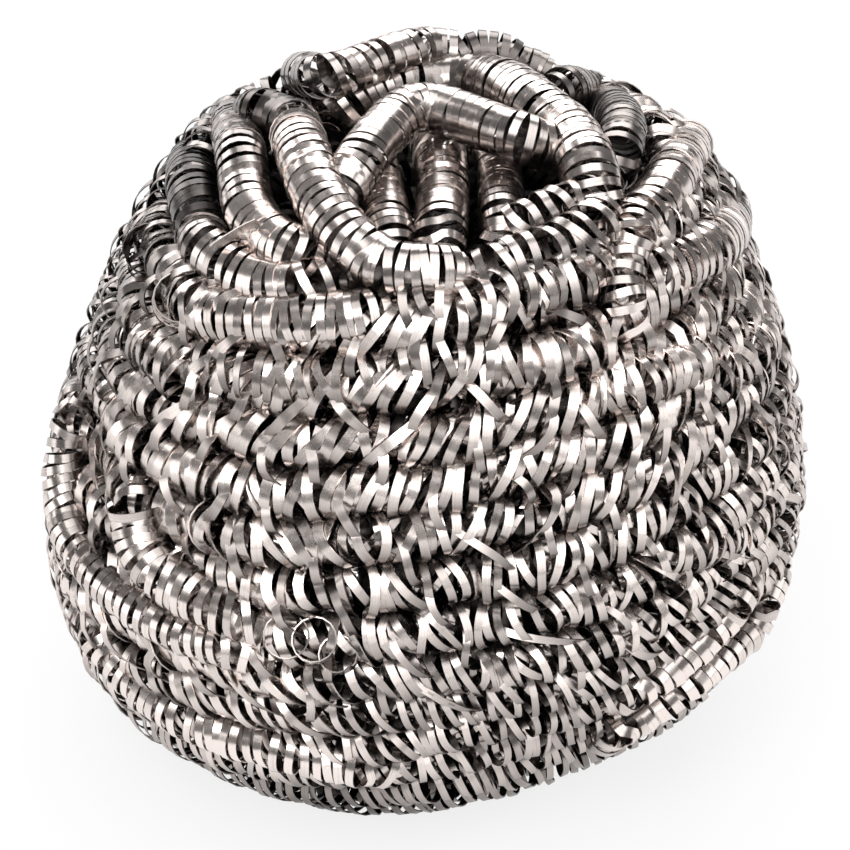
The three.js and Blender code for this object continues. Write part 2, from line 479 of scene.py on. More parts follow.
# %% The flat section swept along the path
def swept_ribbon(tree, given, path):
    """The ribbon as a mesh. It keeps where a point lies across it and which face it is on."""
    inputs = {"Width": given["Ribbon Thickness"], "Height": given["Ribbon Width"]}
    section = add_node(tree, "GeometryNodeCurvePrimitiveQuadrilateral", inputs).outputs[0]
    corner = add_node(tree, "GeometryNodeInputPosition").outputs[0]
    corner = add_node(tree, "ShaderNodeSeparateXYZ", {0: corner}).outputs
    across = maths(tree, "DIVIDE", corner["Y"], given["Ribbon Width"])
    section = store(tree, section, "ribbon_across", across)
    section = store(tree, section, "ribbon_out", maths(tree, "SIGN", corner["X"]))
    inputs = {
        "Curve": path,
        "Profile Curve": section,
        "Scale": stored(tree, "strand_width"),
        "Fill Caps": True,
    }
    swept = add_node(tree, "GeometryNodeCurveToMesh", inputs).outputs[0]
    inputs = {"Geometry": swept, "Name": "strand_*"}
    swept = add_node(tree, "GeometryNodeRemoveAttribute", inputs, pattern_mode="WILDCARD").outputs[0]
    return add_node(tree, "GeometryNodeSetShadeSmooth", {"Geometry": swept}).outputs[0]


# %% The tree that winds a ribbon round a strand
RIBBON_INPUTS = (
    "Ribbon Width", "Ribbon Thickness", "Step", "Slack", "Lean", "Arch", "Swell", "Twist", "Seed",
)


def coil_tree():
    tree = bpy.data.node_groups.new("ribbon round a strand", "GeometryNodeTree")
    face = tree.interface
    face.new_socket("Strand", in_out="INPUT", socket_type="NodeSocketGeometry")
    for name in RIBBON_INPUTS:
        face.new_socket(name, in_out="INPUT", socket_type="NodeSocketFloat")
    face.new_socket("Material", in_out="INPUT", socket_type="NodeSocketMaterial")
    face.new_socket("Ribbon", in_out="OUTPUT", socket_type="NodeSocketGeometry")
    given = tree.nodes.new("NodeGroupInput").outputs
    ribbon = swept_ribbon(tree, given, ribbon_path(tree, given))
    whole = add_node(tree, "GeometryNodeRealizeInstances", {"Geometry": ribbon}).outputs[0]
    inputs = {"Geometry": whole, "Material": given["Material"]}
    finished = add_node(tree, "GeometryNodeSetMaterial", inputs).outputs[0]
    tree.links.new(finished, tree.nodes.new("NodeGroupOutput").inputs[0])
    return tree


ribbon_tree = coil_tree()
print("tree", ribbon_tree.name, "with", len(ribbon_tree.nodes), "nodes")

# %% Strands to a mesh that the tree reads
STRAND_VALUES = ("radius", "pitch", "lean", "width")


def strand_mesh(name, strands):
    """One chain of edges for each strand, with the values that the tree reads at each point."""
    places, edges, outwards = [], [], []
    values = {key: [] for key in STRAND_VALUES}
    for strand in strands:
        first = len(places)
        count = len(strand["places"])
        places += strand["places"]
        edges += [(first + i, first + i + 1) for i in range(count - 1)]
        outwards += strand["outwards"]
        for key in STRAND_VALUES:
            given = strand.get(key, 1.0)
            values[key] += list(given) if np.ndim(given) else [given] * count
    mesh = bpy.data.meshes.new(name)
    mesh.from_pydata(places, edges, [])
    for key in STRAND_VALUES:
        attribute = mesh.attributes.new(f"strand_{key}", "FLOAT", "POINT")
        attribute.data.foreach_set("value", values[key])
    attribute = mesh.attributes.new("strand_outward", "FLOAT_VECTOR", "POINT")
    attribute.data.foreach_set("vector", np.array(outwards, dtype=np.float32).ravel())
    return mesh


# %% The tree's result to a plain mesh
SHARP_EDGE = math.radians(50)
plain_look = {
    "Ribbon Width": RIBBON_WIDTH, "Slack": 0.25, "Lean": 0.3, "Arch": 0.4, "Swell": 0.06, "Twist": 0.2,
}


def wind(name, strands, material, **inputs):
    """Winds the ribbon round the strands and returns it as a plain mesh object."""
    guide = bpy.data.objects.new(f"{name}_guide", strand_mesh(f"{name}_guide", strands))
    scene.collection.objects.link(guide)
    modifier = guide.modifiers.new("ribbon", "NODES")
    modifier.node_group = ribbon_tree
    settings = {"Ribbon Thickness": RIBBON_THICKNESS, "Material": material, **plain_look, **inputs}
    for item in ribbon_tree.interface.items_tree:
        if item.name in settings:
            modifier[item.identifier] = settings[item.name]
    evaluated = guide.evaluated_get(bpy.context.evaluated_depsgraph_get())
    mesh = bpy.data.meshes.new_from_object(evaluated)
    mesh.name = name
    mesh.set_sharp_from_angle(angle=SHARP_EDGE)
    bpy.data.objects.remove(guide)
    piece = bpy.data.objects.new(name, mesh)
    scene.collection.objects.link(piece)
    mesh.calc_loop_triangles()
    print(f"{name}: {len(mesh.loop_triangles)} triangles, {len(mesh.materials)} material")
    return piece


# %% [markdown]
# ## Steel
# The ribbon is bright rolled stainless steel: a metal with a slightly warm grey, fairly smooth, with
# faint lines along its length from the rolls. Little light gets into the grooves, under the turns and
# to their inner face, so shade is painted into the colour there, and painted shade also darkens the left
# shoulder and the foot. No two turns have quite the same tone, and some spots are darkened by painted
# shade and others lightened by painted light. An image could hold all this, but attributes that the tree
# left on the ribbon and plain places on the ball follow every turn.

# %% Spots of painted shade, with a shade under 1, and of painted light, with one over 1
painted_light_and_shade_spots = spots_on_ball({
    "arch": (415, 108, 8 * MM, 1.3),
    "left loops": (295, 215, 12 * MM, 1.7),
    "front of the nest's hole": (385, 300, 9 * MM, 0.6),
    "under the front rim": (390, 380, 17 * MM, 1.3),
    "right of the front rim": (640, 385, 12 * MM, 1.4),
    "low on the left": (265, 720, 14 * MM, 1.4),
    "front, below the middle": (425, 640, 15 * MM, 0.68),
    "right loops": (725, 215, 11 * MM, 0.42),
    "foot": (350, 800, 15 * MM, 0.3),
    "low on the right": (550, 730, 11 * MM, 0.75),
    "left loops, back": (210, 125, 14 * MM, 0.6),
    "back rim": (380, 65, 9 * MM, 1.4),
    "back rim, right": (470, 58, 9 * MM, 0.5),
    "end of the front rim": (190, 290, 11 * MM, 0.72),
    "right edge": (680, 640, 12 * MM, 1.25),
})
print(len(painted_light_and_shade_spots), "spots of painted light and shade")


# %% Helpers for the steel
def ranged(tree, value, low, high, to_low, to_high=1.0):
    """A smooth step from one value to another while an input goes from low to high."""
    inputs = {"Value": value, "From Min": low, "From Max": high, "To Min": to_low, "To Max": to_high}
    return add_node(tree, "ShaderNodeMapRange", inputs, interpolation_type="SMOOTHSTEP").outputs[0]


def noise_value(tree, inputs, dimensions="3D"):
    return add_node(tree, "ShaderNodeTexNoise", inputs, noise_dimensions=dimensions).outputs[0]


def own_attribute(tree, name):
    return add_node(tree, "ShaderNodeAttribute", attribute_name=name).outputs["Fac"]


def object_place(tree):
    return add_node(tree, "ShaderNodeTexCoord").outputs["Object"]


# %% Painted shade that follows the turns
GROOVE_RANGE = (-0.1, 0.9)
GROOVE_SHADE = 0.5
UNDER_RANGE = (-0.9, 0.2)
UNDER_SHADE = 0.35
FACE_RANGE = (-1.0, 1.0)
INSIDE_SHADE = 0.6
LINES_ACROSS = 7.0
LINE_NOISE = {"Scale": 1.6, "Detail": 1.0}
LINE_RANGE = (0.3, 0.55)
LINE_SHADE = 0.85
TONE_NOISE = {"Scale": 1.4, "Detail": 0.0}
TONE_RANGE = (0.3, 0.6)
TONE_SHADE = 0.72


def depth_shades(tree, turn, groove_shade, under_shade, under_range):
    """Painted shade: darker towards the groove between the rows, under a turn and on the ribbon's inner
    face.
    """
    angle = maths(tree, "MULTIPLY", turn, 2 * math.pi)
    groove = ranged(tree, maths(tree, "COSINE", angle), *GROOVE_RANGE, groove_shade)
    under = ranged(tree, maths(tree, "SINE", angle), *under_range, under_shade)
    inside = ranged(tree, own_attribute(tree, "ribbon_out"), *FACE_RANGE, INSIDE_SHADE)
    return [groove, under, inside]


def roll_shades(tree, turn):
    """Lines from the rolls along the ribbon, and another tone on every turn."""
    across = maths(tree, "MULTIPLY", own_attribute(tree, "ribbon_across"), LINES_ACROSS)
    flat = add_node(tree, "ShaderNodeCombineXYZ", {0: across, 1: turn}).outputs[0]
    lines = ranged(tree, noise_value(tree, {"Vector": flat, **LINE_NOISE}), *LINE_RANGE, LINE_SHADE)
    tone = noise_value(tree, {"W": turn, **TONE_NOISE}, "1D")
    return [lines, ranged(tree, tone, *TONE_RANGE, TONE_SHADE)]


# %% Painted shade and painted light that follow the place on the ball
# Painted shade darkens the left shoulder, where little light reaches, and the foot, low down.
SHOULDER_PAINTED_SHADE_WAY = (-0.8, 0.3, 0.52)
SHOULDER_PAINTED_SHADE_RANGE = (39.5 * MM, 45 * MM)
SHOULDER_PAINTED_SHADE = 0.45
LOW_RANGE = (2 * MM, 15 * MM)
LOW_SHADE = 0.3


def place_shades(tree, place):
    """Painted shade on the left shoulder and the foot, and spots of painted shade and painted light."""
    leftwards = vectors_to_number(tree, "DOT_PRODUCT", place, SHOULDER_PAINTED_SHADE_WAY)
    shoulder_shade = ranged(tree, leftwards, *SHOULDER_PAINTED_SHADE_RANGE, 1.0, SHOULDER_PAINTED_SHADE)
    height = add_node(tree, "ShaderNodeSeparateXYZ", {0: place}).outputs["Z"]
    shades = [shoulder_shade, ranged(tree, height, *LOW_RANGE, LOW_SHADE)]
    for middle, reach, factor in painted_light_and_shade_spots:
        away = vectors_to_number(tree, "DISTANCE", place, middle)
        shades.append(ranged(tree, away, 0.0, reach, factor))
    return shades


# %% The steel of the ribbon
PATCH_NOISE = {"Scale": 1.7 / MM, "Detail": 3.0}
WORN_RANGE = (0.35, 0.6)
WORN_SHADE = 0.97
POLISH_RANGE = (0.35, 0.65)
POLISH_CHANGE = 0.02


def ribbon_steel(
    name, colour, roughness, groove_shade=GROOVE_SHADE, under_shade=UNDER_SHADE, under_range=UNDER_RANGE
):
    """Steel of one colour and roughness. No turn is brighter than the colour."""
    material = bpy.data.materials.new(name)
    material.use_nodes = True
    tree = material.node_tree
    surface = tree.nodes["Principled BSDF"]
    surface.inputs["Metallic"].default_value = 1.0
    turn = own_attribute(tree, "ribbon_turn")
    place = object_place(tree)
    patch = noise_value(tree, {"Vector": place, **PATCH_NOISE})
    polish = ranged(tree, patch, *POLISH_RANGE, roughness - POLISH_CHANGE, roughness + POLISH_CHANGE)
    tree.links.new(polish, surface.inputs["Roughness"])
    # The colour is darkened by painted shade, lightened in some spots by painted light, and marked by
    # the real wear, roll lines and tone.
    shade, *others = depth_shades(tree, turn, groove_shade, under_shade, under_range)
    others.append(ranged(tree, patch, *WORN_RANGE, WORN_SHADE))
    others += roll_shades(tree, turn)
    others += place_shades(tree, place)
    for other in others:
        shade = maths(tree, "MULTIPLY", shade, other)
    shade = maths(tree, "MINIMUM", shade, 1.0)
    tree.links.new(scaled(tree, colour, shade), surface.inputs["Base Color"])
    return material


bright_steel = ribbon_steel("ribbon_steel", colour=(0.92, 0.824, 0.779), roughness=0.27)
# The nest's steel is painted lighter as painted light, with more painted shade on its tubes' flanks and
# less under them.
painted_light_nest_steel = ribbon_steel(
    "nest_ribbon_steel_painted_light", colour=(0.95, 0.851, 0.805), roughness=0.23,
    groove_shade=0.42, under_shade=0.8,
)
# The lower rows' steel is painted darker as painted shade, with more painted shade in the grooves and
# under the turns.
painted_shade_lower_steel = ribbon_steel(
    "lower_ribbon_steel_painted_shade", colour=(0.86, 0.77, 0.728), roughness=0.3,
    groove_shade=0.3, under_range=(-0.8, 0.6),
)
# The second layer's steel is painted darker as painted shade, because it lies deeper in the ball.
painted_shade_steel = ribbon_steel("ribbon_steel_painted_shade", colour=(0.62, 0.555, 0.525), roughness=0.14)
# The far loops' steel is painted darker still, as painted shade.
painted_shade_far_steel = ribbon_steel("far_ribbon_steel_painted_shade", colour=(0.42, 0.376, 0.355), roughness=0.3)
# The nest floor's steel is painted almost black as painted shade.
painted_shade_dark_steel = ribbon_steel("dark_ribbon_steel_painted_shade", colour=(0.07, 0.063, 0.058), roughness=0.4)
# The third layer's steel is painted dark as painted shade.
painted_shade_deep_steel = ribbon_steel("deep_ribbon_steel_painted_shade", colour=(0.2, 0.18, 0.168), roughness=0.4)
print(len(bright_steel.node_tree.nodes), "nodes in each steel")

# %% [markdown]
# ## The rows
# The outside of the ball is one coil in rows, from the shoulder, just outside the nest, down to the
# middle of the foot. Its turns stand wider in some places than in others, and their slant changes on the
# way down. Values on the strand can say so point by point, which the tree's own inputs can't. The
# rows are wound as four pieces, so that none has too many triangles, with a narrower ribbon below,
# whose steel is painted darker as painted shade.

# %% How the turns vary over the ball
LEAN_TURNS_AT = 32 * MM
LEAN_TURNS_OVER = 8 * MM
LEAN_CHANGE = 0.35
LEAN_MEAN = -0.1
LEAN_UNEVEN = 0.5
LEAN_DRIFT = 13 * MM
LEAN_SEED = 5
RADIUS_UNEVEN = 0.08
RADIUS_DRIFT = 17 * MM
PITCH_UNEVEN = 0.35
PITCH_DRIFT = 19 * MM
PITCH_SEED = 2
WIDER_WHERE_CLOSE = 1.1
WIDEST_SPACING = 0.25
turn_spacing = spots_on_ball({
    "left shoulder": (135, 235, 9 * MM, 0.5),
    "front, left": (240, 460, 13 * MM, -0.25),
    "front, right": (690, 450, 10 * MM, 0.2),
    "right of the front rim": (640, 385, 6 * MM, -0.3),
    "front, below the middle": (425, 620, 8 * MM, 0.2),
})
turn_slant = spots_on_ball({
    "front, left": (250, 425, 9 * MM, -0.45),
    "front, left, lower down": (270, 522, 4 * MM, 0.7),
    "front, right of the middle": (520, 480, 8 * MM, -0.3),
})


def slant_at(place, length, seed):
    """How far a turn slants along the row: by the length down the section, the place and chance."""
    change = LEAN_CHANGE * math.tanh((length - LEAN_TURNS_AT) / LEAN_TURNS_OVER) + LEAN_MEAN
    chance = LEAN_UNEVEN * wander(place, LEAN_DRIFT, seed + LEAN_SEED)
    return change + chance + amount_at(place, turn_slant)


def row_values(strand, radius, pitch, seed):
    """Adds the coil's size, the distance between turns, the ribbon's width and the turns' slant."""
    radii, pitches, widths, leans = [], [], [], []
    for place, length in zip(strand["places"], strand["lengths"]):
        spacing = amount_at(place, turn_spacing)
        pitch_chance = PITCH_UNEVEN * wander(place, PITCH_DRIFT, seed + PITCH_SEED)
        radii.append(radius * (1 + RADIUS_UNEVEN * wander(place, RADIUS_DRIFT, seed)))
        pitches.append(pitch * (1 + pitch_chance + spacing))
        widths.append(1 - WIDER_WHERE_CLOSE * min(spacing, WIDEST_SPACING))
        leans.append(slant_at(place, length, seed))
    return {**strand, "radius": radii, "pitch": pitches, "width": widths, "lean": leans}


# %% Outer rows
SHOULDER = 7 * MM
UPPER_END = 30 * MM
MIDDLE_END = 46 * MM
LOWER_END = 66 * MM
ROW_UNEVENNESS = 1.7 * MM
ROW_SEED = 3.0
OUTER_SEED = 1.0


def rows_between(first, last, pitch, seed=OUTER_SEED, section=outer_section, turned=0.0):
    """The rows between two lengths down a section. The coil runs on from stretch to stretch."""
    start_angle = turned - 2 * math.pi * (first - SHOULDER) / ROW_PITCH
    strand = spiral_strand(section, first, last, ROW_PITCH, start_angle, ROW_UNEVENNESS, ROW_SEED)
    return row_values(strand, COIL_RADIUS, pitch, seed)


outer_look = {
    "Ribbon Width": 0.82 * MM, "Slack": 0.5, "Lean": 0.8, "Arch": 0.6, "Swell": 0.22, "Twist": 0.8,
}
lower_look = {
    "Ribbon Width": 0.66 * MM, "Slack": 0.4, "Lean": 0.45, "Arch": 0.45, "Swell": 0.13, "Twist": 0.6,
}
upper_rows = wind(
    "upper_rows", [rows_between(SHOULDER + ROW_PITCH / 2, UPPER_END, pitch=1.08 * MM)], bright_steel,
    Step=0.052 * MM, Seed=1.0, **outer_look,
)
middle_rows = wind(
    "middle_rows", [rows_between(UPPER_END, MIDDLE_END, pitch=1.08 * MM)], bright_steel,
    Step=0.052 * MM, Seed=2.0, **outer_look,
)
lower_rows = wind(
    "lower_rows", [rows_between(MIDDLE_END, LOWER_END, pitch=1.15 * MM)], painted_shade_lower_steel,
    Step=0.052 * MM, Seed=3.0, **lower_look,
)
foot_rows = wind(
    "foot_rows", [rows_between(LOWER_END, SECTION_LENGTH, pitch=1.25 * MM)], painted_shade_lower_steel,
    Step=0.08 * MM, Seed=3.5, **lower_look,
)

# %% [markdown]
# ## The nest
# At the top the coil lies in loose loops round a hole. Here its turns sit close together, so it looks
# like a smooth tube with fine dark lines. Each loop is traced, from one end to the other, and both ends
# dive into the ball. Their steel is painted lighter as painted light, but the loops at the back have
# less light, so their steel is painted darker as painted shade.

# %% Loops of the nest
TIGHT = 0.8 * MM
NEST_COIL = 2.45 * MM
nest_traces = {
    "front rim": {"lift": 0.9 * MM, "radius": NEST_COIL, "pitch": TIGHT, "pixels": [
        (400, 314, -1), (370, 317), (330, 321), (290, 322), (240, 320), (212, 314), (196, 302),
        (185, 282, -3),
    ]},
    "left inner": {"lift": 0.5 * MM, "radius": 2.3 * MM, "pitch": 1.0 * MM, "pixels": [
        (360, 275, -3), (320, 284), (280, 286), (248, 278), (225, 264), (205, 245), (195, 215, -3),
    ]},
    "left": {"lift": 0.4 * MM, "radius": 2.2 * MM, "pitch": TIGHT, "pixels": [
        (218, 90, -5), (228, 110), (240, 150), (245, 190), (252, 215), (275, 240), (305, 255),
        (335, 268, -3),
    ]},
    "diagonal": {"lift": 1.2 * MM, "radius": 2.35 * MM, "pitch": TIGHT, "pixels": [
        (292, 120, -4), (300, 145), (312, 180), (330, 215), (358, 248), (390, 268), (435, 272),
        (470, 274, -1.5),
    ]},
    "back rim": {"lift": 0.2 * MM, "radius": 2.0 * MM, "pitch": 1.0 * MM, "pixels": [
        (286, 64, -2), (300, 70), (320, 76), (345, 72), (375, 62), (405, 52), (435, 45),
        (462, 42, -0.6), (488, 46, -3),
    ]},
    "back inner": {"lift": 0.2 * MM, "radius": 2.6 * MM, "pitch": TIGHT, "pixels": [
        (326, 140, -7), (340, 108, -4), (378, 92, -3.2), (435, 84, -3.2), (480, 82, -2.4),
        (508, 89, -1), (532, 105), (550, 119), (572, 140), (588, 170), (594, 205, -1), (598, 230, -4),
    ]},
    "arch": {"lift": 1.0 * MM, "radius": 2.2 * MM, "pitch": 0.78 * MM, "pixels": [
        (578, 160, -2.5), (552, 149, -1), (525, 139), (498, 130), (462, 117), (428, 108), (403, 114),
        (380, 136), (359, 163, -0.3), (340, 190, -1.5), (328, 212, -2.5),
    ]},
    "right": {"lift": 0.6 * MM, "radius": 2.3 * MM, "pitch": TIGHT, "pixels": [
        (705, 112, -4), (698, 130), (685, 150), (670, 180), (655, 205), (632, 228), (620, 250, -4),
    ]},
    "right large": {"lift": 0.5 * MM, "radius": 2.7 * MM, "pitch": 1.25 * MM, "pixels": [
        (700, 178, -4), (718, 195), (725, 220), (710, 245), (680, 264), (640, 278), (610, 285, -3),
    ]},
    "hole left": {"lift": -3.0 * MM, "radius": 2.1 * MM, "pitch": TIGHT, "pixels": [
        (366, 140, -5), (374, 168), (382, 200), (390, 240), (395, 275, -2),
    ]},
    "hole middle": {"lift": -3.2 * MM, "radius": 2.3 * MM, "pitch": TIGHT, "pixels": [
        (432, 130, -4), (440, 160), (443, 195), (440, 235), (436, 275, -2),
    ]},
    "hole right": {"lift": -3.5 * MM, "radius": 2.0 * MM, "pitch": TIGHT, "pixels": [
        (488, 120, -4), (495, 150), (500, 180), (502, 215), (505, 260, -2),
    ]},
}

# %% Loops at the back and the edge of the nest
far_traces = {
    "far left": {"lift": 0.2 * MM, "radius": 2.3 * MM, "pitch": 1.1 * MM, "pixels": [
        (180, 112, -4), (184, 140), (192, 180), (200, 220), (215, 250, -2),
    ]},
    "left knob": {"lift": 0.3 * MM, "radius": 2.0 * MM, "pitch": TIGHT, "pixels": [
        (238, 116, -3), (256, 112), (278, 116), (294, 126), (304, 150, -3),
    ]},
    "back middle": {"lift": 0.4 * MM, "radius": 2.0 * MM, "pitch": 0.85 * MM, "pixels": [
        (430, 54, -4), (458, 45, -1), (488, 42), (515, 50, -0.3), (537, 64, -3),
    ]},
    "back end": {"lift": 0, "radius": 1.7 * MM, "pitch": TIGHT, "pixels": [
        (470, 66, -4), (485, 56, -1), (505, 54), (525, 60), (545, 68), (560, 76, -1),
    ]},
    "right outer": {"lift": -0.3 * MM, "radius": 2.1 * MM, "pitch": 1.0 * MM, "pixels": [
        (540, 104, -1.5), (560, 90, -0.5), (585, 86), (608, 98), (622, 125), (616, 160), (605, 195, -4),
    ]},
}

# %% The nest's ribbon
nest_look = {
    "Ribbon Width": 0.76 * MM, "Slack": 0.3, "Lean": 0.25, "Arch": 0.4, "Swell": 0.04, "Twist": 0.15,
}
nest_loops = wind(
    "nest_loops", traced_strands(nest_traces), painted_light_nest_steel, Step=0.043 * MM, Seed=5.0, **nest_look
)
far_loops = wind(
    "far_loops", traced_strands(far_traces), painted_shade_far_steel, Step=0.05 * MM, Seed=5.5, **nest_look
)

# %% [markdown]
# ## Loose lengths
# Some lengths of the coil have slipped out of their rows: the right half of the nest's front rim and the
# loops beside it, and others that lie across the rows of both shoulders and the right flank. They are
# pulled longer than the loops, so their turns stand open and slant more.

# %% Loose lengths
loose_traces = {
    "front rim, open part": {"lift": 0.9 * MM, "radius": 2.45 * MM, "pitch": 1.35 * MM, "pixels": [
        (615, 262, -3), (585, 278), (545, 288), (510, 296), (480, 303), (445, 309), (412, 313),
        (382, 316, -1),
    ]},
    "front inner, upper part": {"lift": -0.6 * MM, "radius": 2.1 * MM, "pitch": 1.25 * MM, "pixels": [
        (606, 178, -5), (592, 196, -1), (562, 209), (530, 220), (508, 236, -1), (498, 258, -3),
    ]},
    "front inner, open part": {"lift": 0.9 * MM, "radius": 2.5 * MM, "pitch": 1.45 * MM, "pixels": [
        (598, 215, -4), (588, 232), (560, 250), (525, 263), (490, 272), (460, 276, -1),
    ]},
    "left shoulder": {"lift": 0.8 * MM, "radius": 2.3 * MM, "pitch": 1.3 * MM, "pixels": [
        (235, 402, -2), (202, 392), (180, 372), (158, 350), (135, 332, -1.5),
    ]},
    "right shoulder": {"lift": 0.6 * MM, "radius": 2.6 * MM, "pitch": 1.5 * MM, "pixels": [
        (762, 312, -1), (748, 345), (727, 368), (700, 385), (672, 398, -1.5),
    ]},
    "right flank": {"lift": 0.6 * MM, "radius": 2.2 * MM, "pitch": 1.3 * MM, "pixels": [
        (750, 520, -1.5), (715, 540), (680, 548), (650, 556), (625, 570, -1.5),
    ]},
    "under the rim": {"lift": 0.9 * MM, "radius": 2.3 * MM, "pitch": 1.25 * MM, "pixels": [
        (605, 346, -2), (570, 356), (530, 362), (490, 363), (450, 361), (410, 364), (372, 376, -2),
    ]},
    "under the left rim": {"lift": 0.9 * MM, "radius": 2.3 * MM, "pitch": 1.1 * MM, "pixels": [
        (400, 370, -1.5), (365, 378), (320, 381), (275, 378), (235, 368), (200, 350, -2),
    ]},
    "right of the rim": {"lift": 1.0 * MM, "radius": 2.3 * MM, "pitch": 1.0 * MM, "pixels": [
        (715, 345, -2), (685, 364), (655, 376), (622, 386), (590, 396, -2),
    ]},
}
loose_lengths = wind(
    "loose_lengths", traced_strands(loose_traces), bright_steel,
    Step=0.055 * MM, Slack=0.4, Lean=0.6, Arch=0.6, Swell=0.12, Twist=0.6, Seed=9.0,
)

# %% [markdown]
# ## Lengths down the sides
# Lengths of tight coil come down the sides of the ball and turn in towards the front: three on the left,
# two along the right edge and one from the nest. They stand out from the rows, so they are traced
# and lifted by about a millimetre or more. Along the right edge the ribbon is a little wider.

# %% Lengths down the sides
side_traces = {
    "left side": {"lift": 1.6 * MM, "radius": 1.9 * MM, "pitch": 1.15 * MM, "pixels": [
        (285, 655, -2), (240, 649), (200, 638), (165, 624), (135, 605), (110, 585), (88, 560),
        (72, 532), (65, 500), (65, 465), (70, 434), (78, 410, -0.3), (88, 388, -1.5),
    ]},
    "left stub": {"lift": 1.6 * MM, "radius": 2.4 * MM, "pitch": 1.15 * MM, "pixels": [
        (295, 622, -2), (255, 617), (222, 606), (192, 592), (165, 574), (146, 550), (137, 520),
        (137, 500), (141, 482, -1),
    ]},
    "low left": {"lift": 0.9 * MM, "radius": 2.1 * MM, "pitch": 1.15 * MM, "pixels": [
        (405, 764, -1.5), (370, 763), (337, 759), (312, 754), (270, 744), (229, 733), (188, 716),
        (160, 698), (137, 678), (115, 652), (101, 632), (88, 605, -1.5),
    ]},
    "right drop": {"lift": 1.4 * MM, "radius": 2.0 * MM, "pitch": 1.15 * MM, "pixels": [
        (645, 205, -4), (634, 230), (626, 256), (622, 285), (624, 312), (630, 334, -2),
    ]},
}
edge_traces = {
    "right edge": {"lift": 1.6 * MM, "radius": 1.6 * MM, "pitch": 1.3 * MM, "pixels": [
        (782, 530, -2), (774, 565, -0.5), (764, 600), (752, 626), (734, 646), (712, 664), (690, 681),
        (665, 699), (640, 717), (614, 732), (594, 742, -1.5),
    ]},
    "inside the right edge": {"lift": 1.1 * MM, "radius": 1.8 * MM, "pitch": 1.3 * MM, "pixels": [
        (752, 560, -2), (740, 590), (724, 616), (704, 636), (684, 655), (660, 673), (632, 690),
        (600, 702, -2),
    ]},
}
EDGE_WIDTH = 1.3
side_strands = traced_strands(side_traces) + traced_strands(edge_traces, EDGE_WIDTH)
side_lengths = wind(
    "side_lengths", side_strands, painted_light_nest_steel,
    Step=0.05 * MM, Slack=0.25, Lean=0.25, Arch=0.35, Swell=0.08, Twist=0.35, Seed=8.0,
)

# %% [markdown]
# ## Sprung turns
# Here and there the end of a length has sprung open, and its last turns are seen end-on as thin rings.
# One ribbon has come away from the nest as a straight, bright sliver. The same tree makes both: a ring
# is a very short strand that points at the camera, and the sliver has next to no radius and so long
# a pitch that it hardly turns.

# %% Sprung turns and a sliver
RING_LENGTH = 1.3 * MM
RING_SHARES = (0, 0.25, 0.5, 0.75, 1)


def ring_strand(x, y, lift, radius, tilt_x, tilt_y):
    """A very short strand that points at the camera, so that its turns are seen end-on."""
    middle = on_ball(x, y, lift)
    axis = (-view_ahead + tilt_x * view_right + tilt_y * view_up).normalized()
    return {
        "places": [middle + axis * (RING_LENGTH * (share - 0.5)) for share in RING_SHARES],
        "outwards": [view_up] * len(RING_SHARES),
        "radius": radius,
        "pitch": TIGHT,
        "lean": 0.0,
    }


# A ring's pixel, lift, radius and tilts
rings = {
    "end of the front rim": (181, 300, 1.6 * MM, 2.4 * MM, 0.1, 0.3),
    "end of the left side": (286, 637, 2.6 * MM, 1.9 * MM, 0.1, 0.2),
    "beside it": (315, 640, 2.7 * MM, 1.9 * MM, -0.1, 0.15),
    "beside that": (339, 655, 2.6 * MM, 1.6 * MM, -0.2, 0.2),
    "left shoulder": (150, 250, 1.4 * MM, 2.2 * MM, -0.3, 0.3),
}
SLIVER_LIFT = 3.2 * MM
SLIVER_RADIUS = 0.05 * MM
SLIVER_PITCH = 1000 * MM
sliver_pixels = [(258, 222, 0.5), (240, 231), (216, 246)]
sliver = traced_strand(sliver_pixels, SLIVER_LIFT, SLIVER_RADIUS, SLIVER_PITCH)
sprung_turns = wind(
    "sprung_turns", [*(ring_strand(*ring) for ring in rings.values()), sliver], bright_steel,
    Step=0.05 * MM, Slack=0.1, Lean=0.1, Arch=0.1, Swell=0.05, Twist=0.1, Seed=2.0,
)

# %% [markdown]
# ## Stray turns
# Single turns have pulled out of the rows and bridge the grooves between them. A second winding gives
# them: it runs along the grooves, half a row from the rows, and a little proud of them, and its pitch
# is so long that only a turn shows here and there.

# %% Stray turns
STRAY_PROUD = 0.3 * MM
stray_rows = rows_between(
    SHOULDER + ROW_PITCH, MIDDLE_END, pitch=6.4 * MM, seed=6.0,
    section=ball_section(-STRAY_PROUD), turned=math.pi,
)
stray_turns = wind(
    "stray_turns", [stray_rows], painted_shade_lower_steel,
    Step=0.26 * MM, Slack=0.5, Lean=1.2, Arch=1.0, Swell=0.15, Twist=0.5, Seed=10.0,
)

# %% [markdown]
# ## Rows underneath
# Between the turns more coil shows, its steel painted darker with depth as painted shade. A filled ball
# behind the rows would look flat there, so two more layers of rows lie under them: one in the grooves of
# the outer rows, and a coarse one deeper down that closes the last gaps.

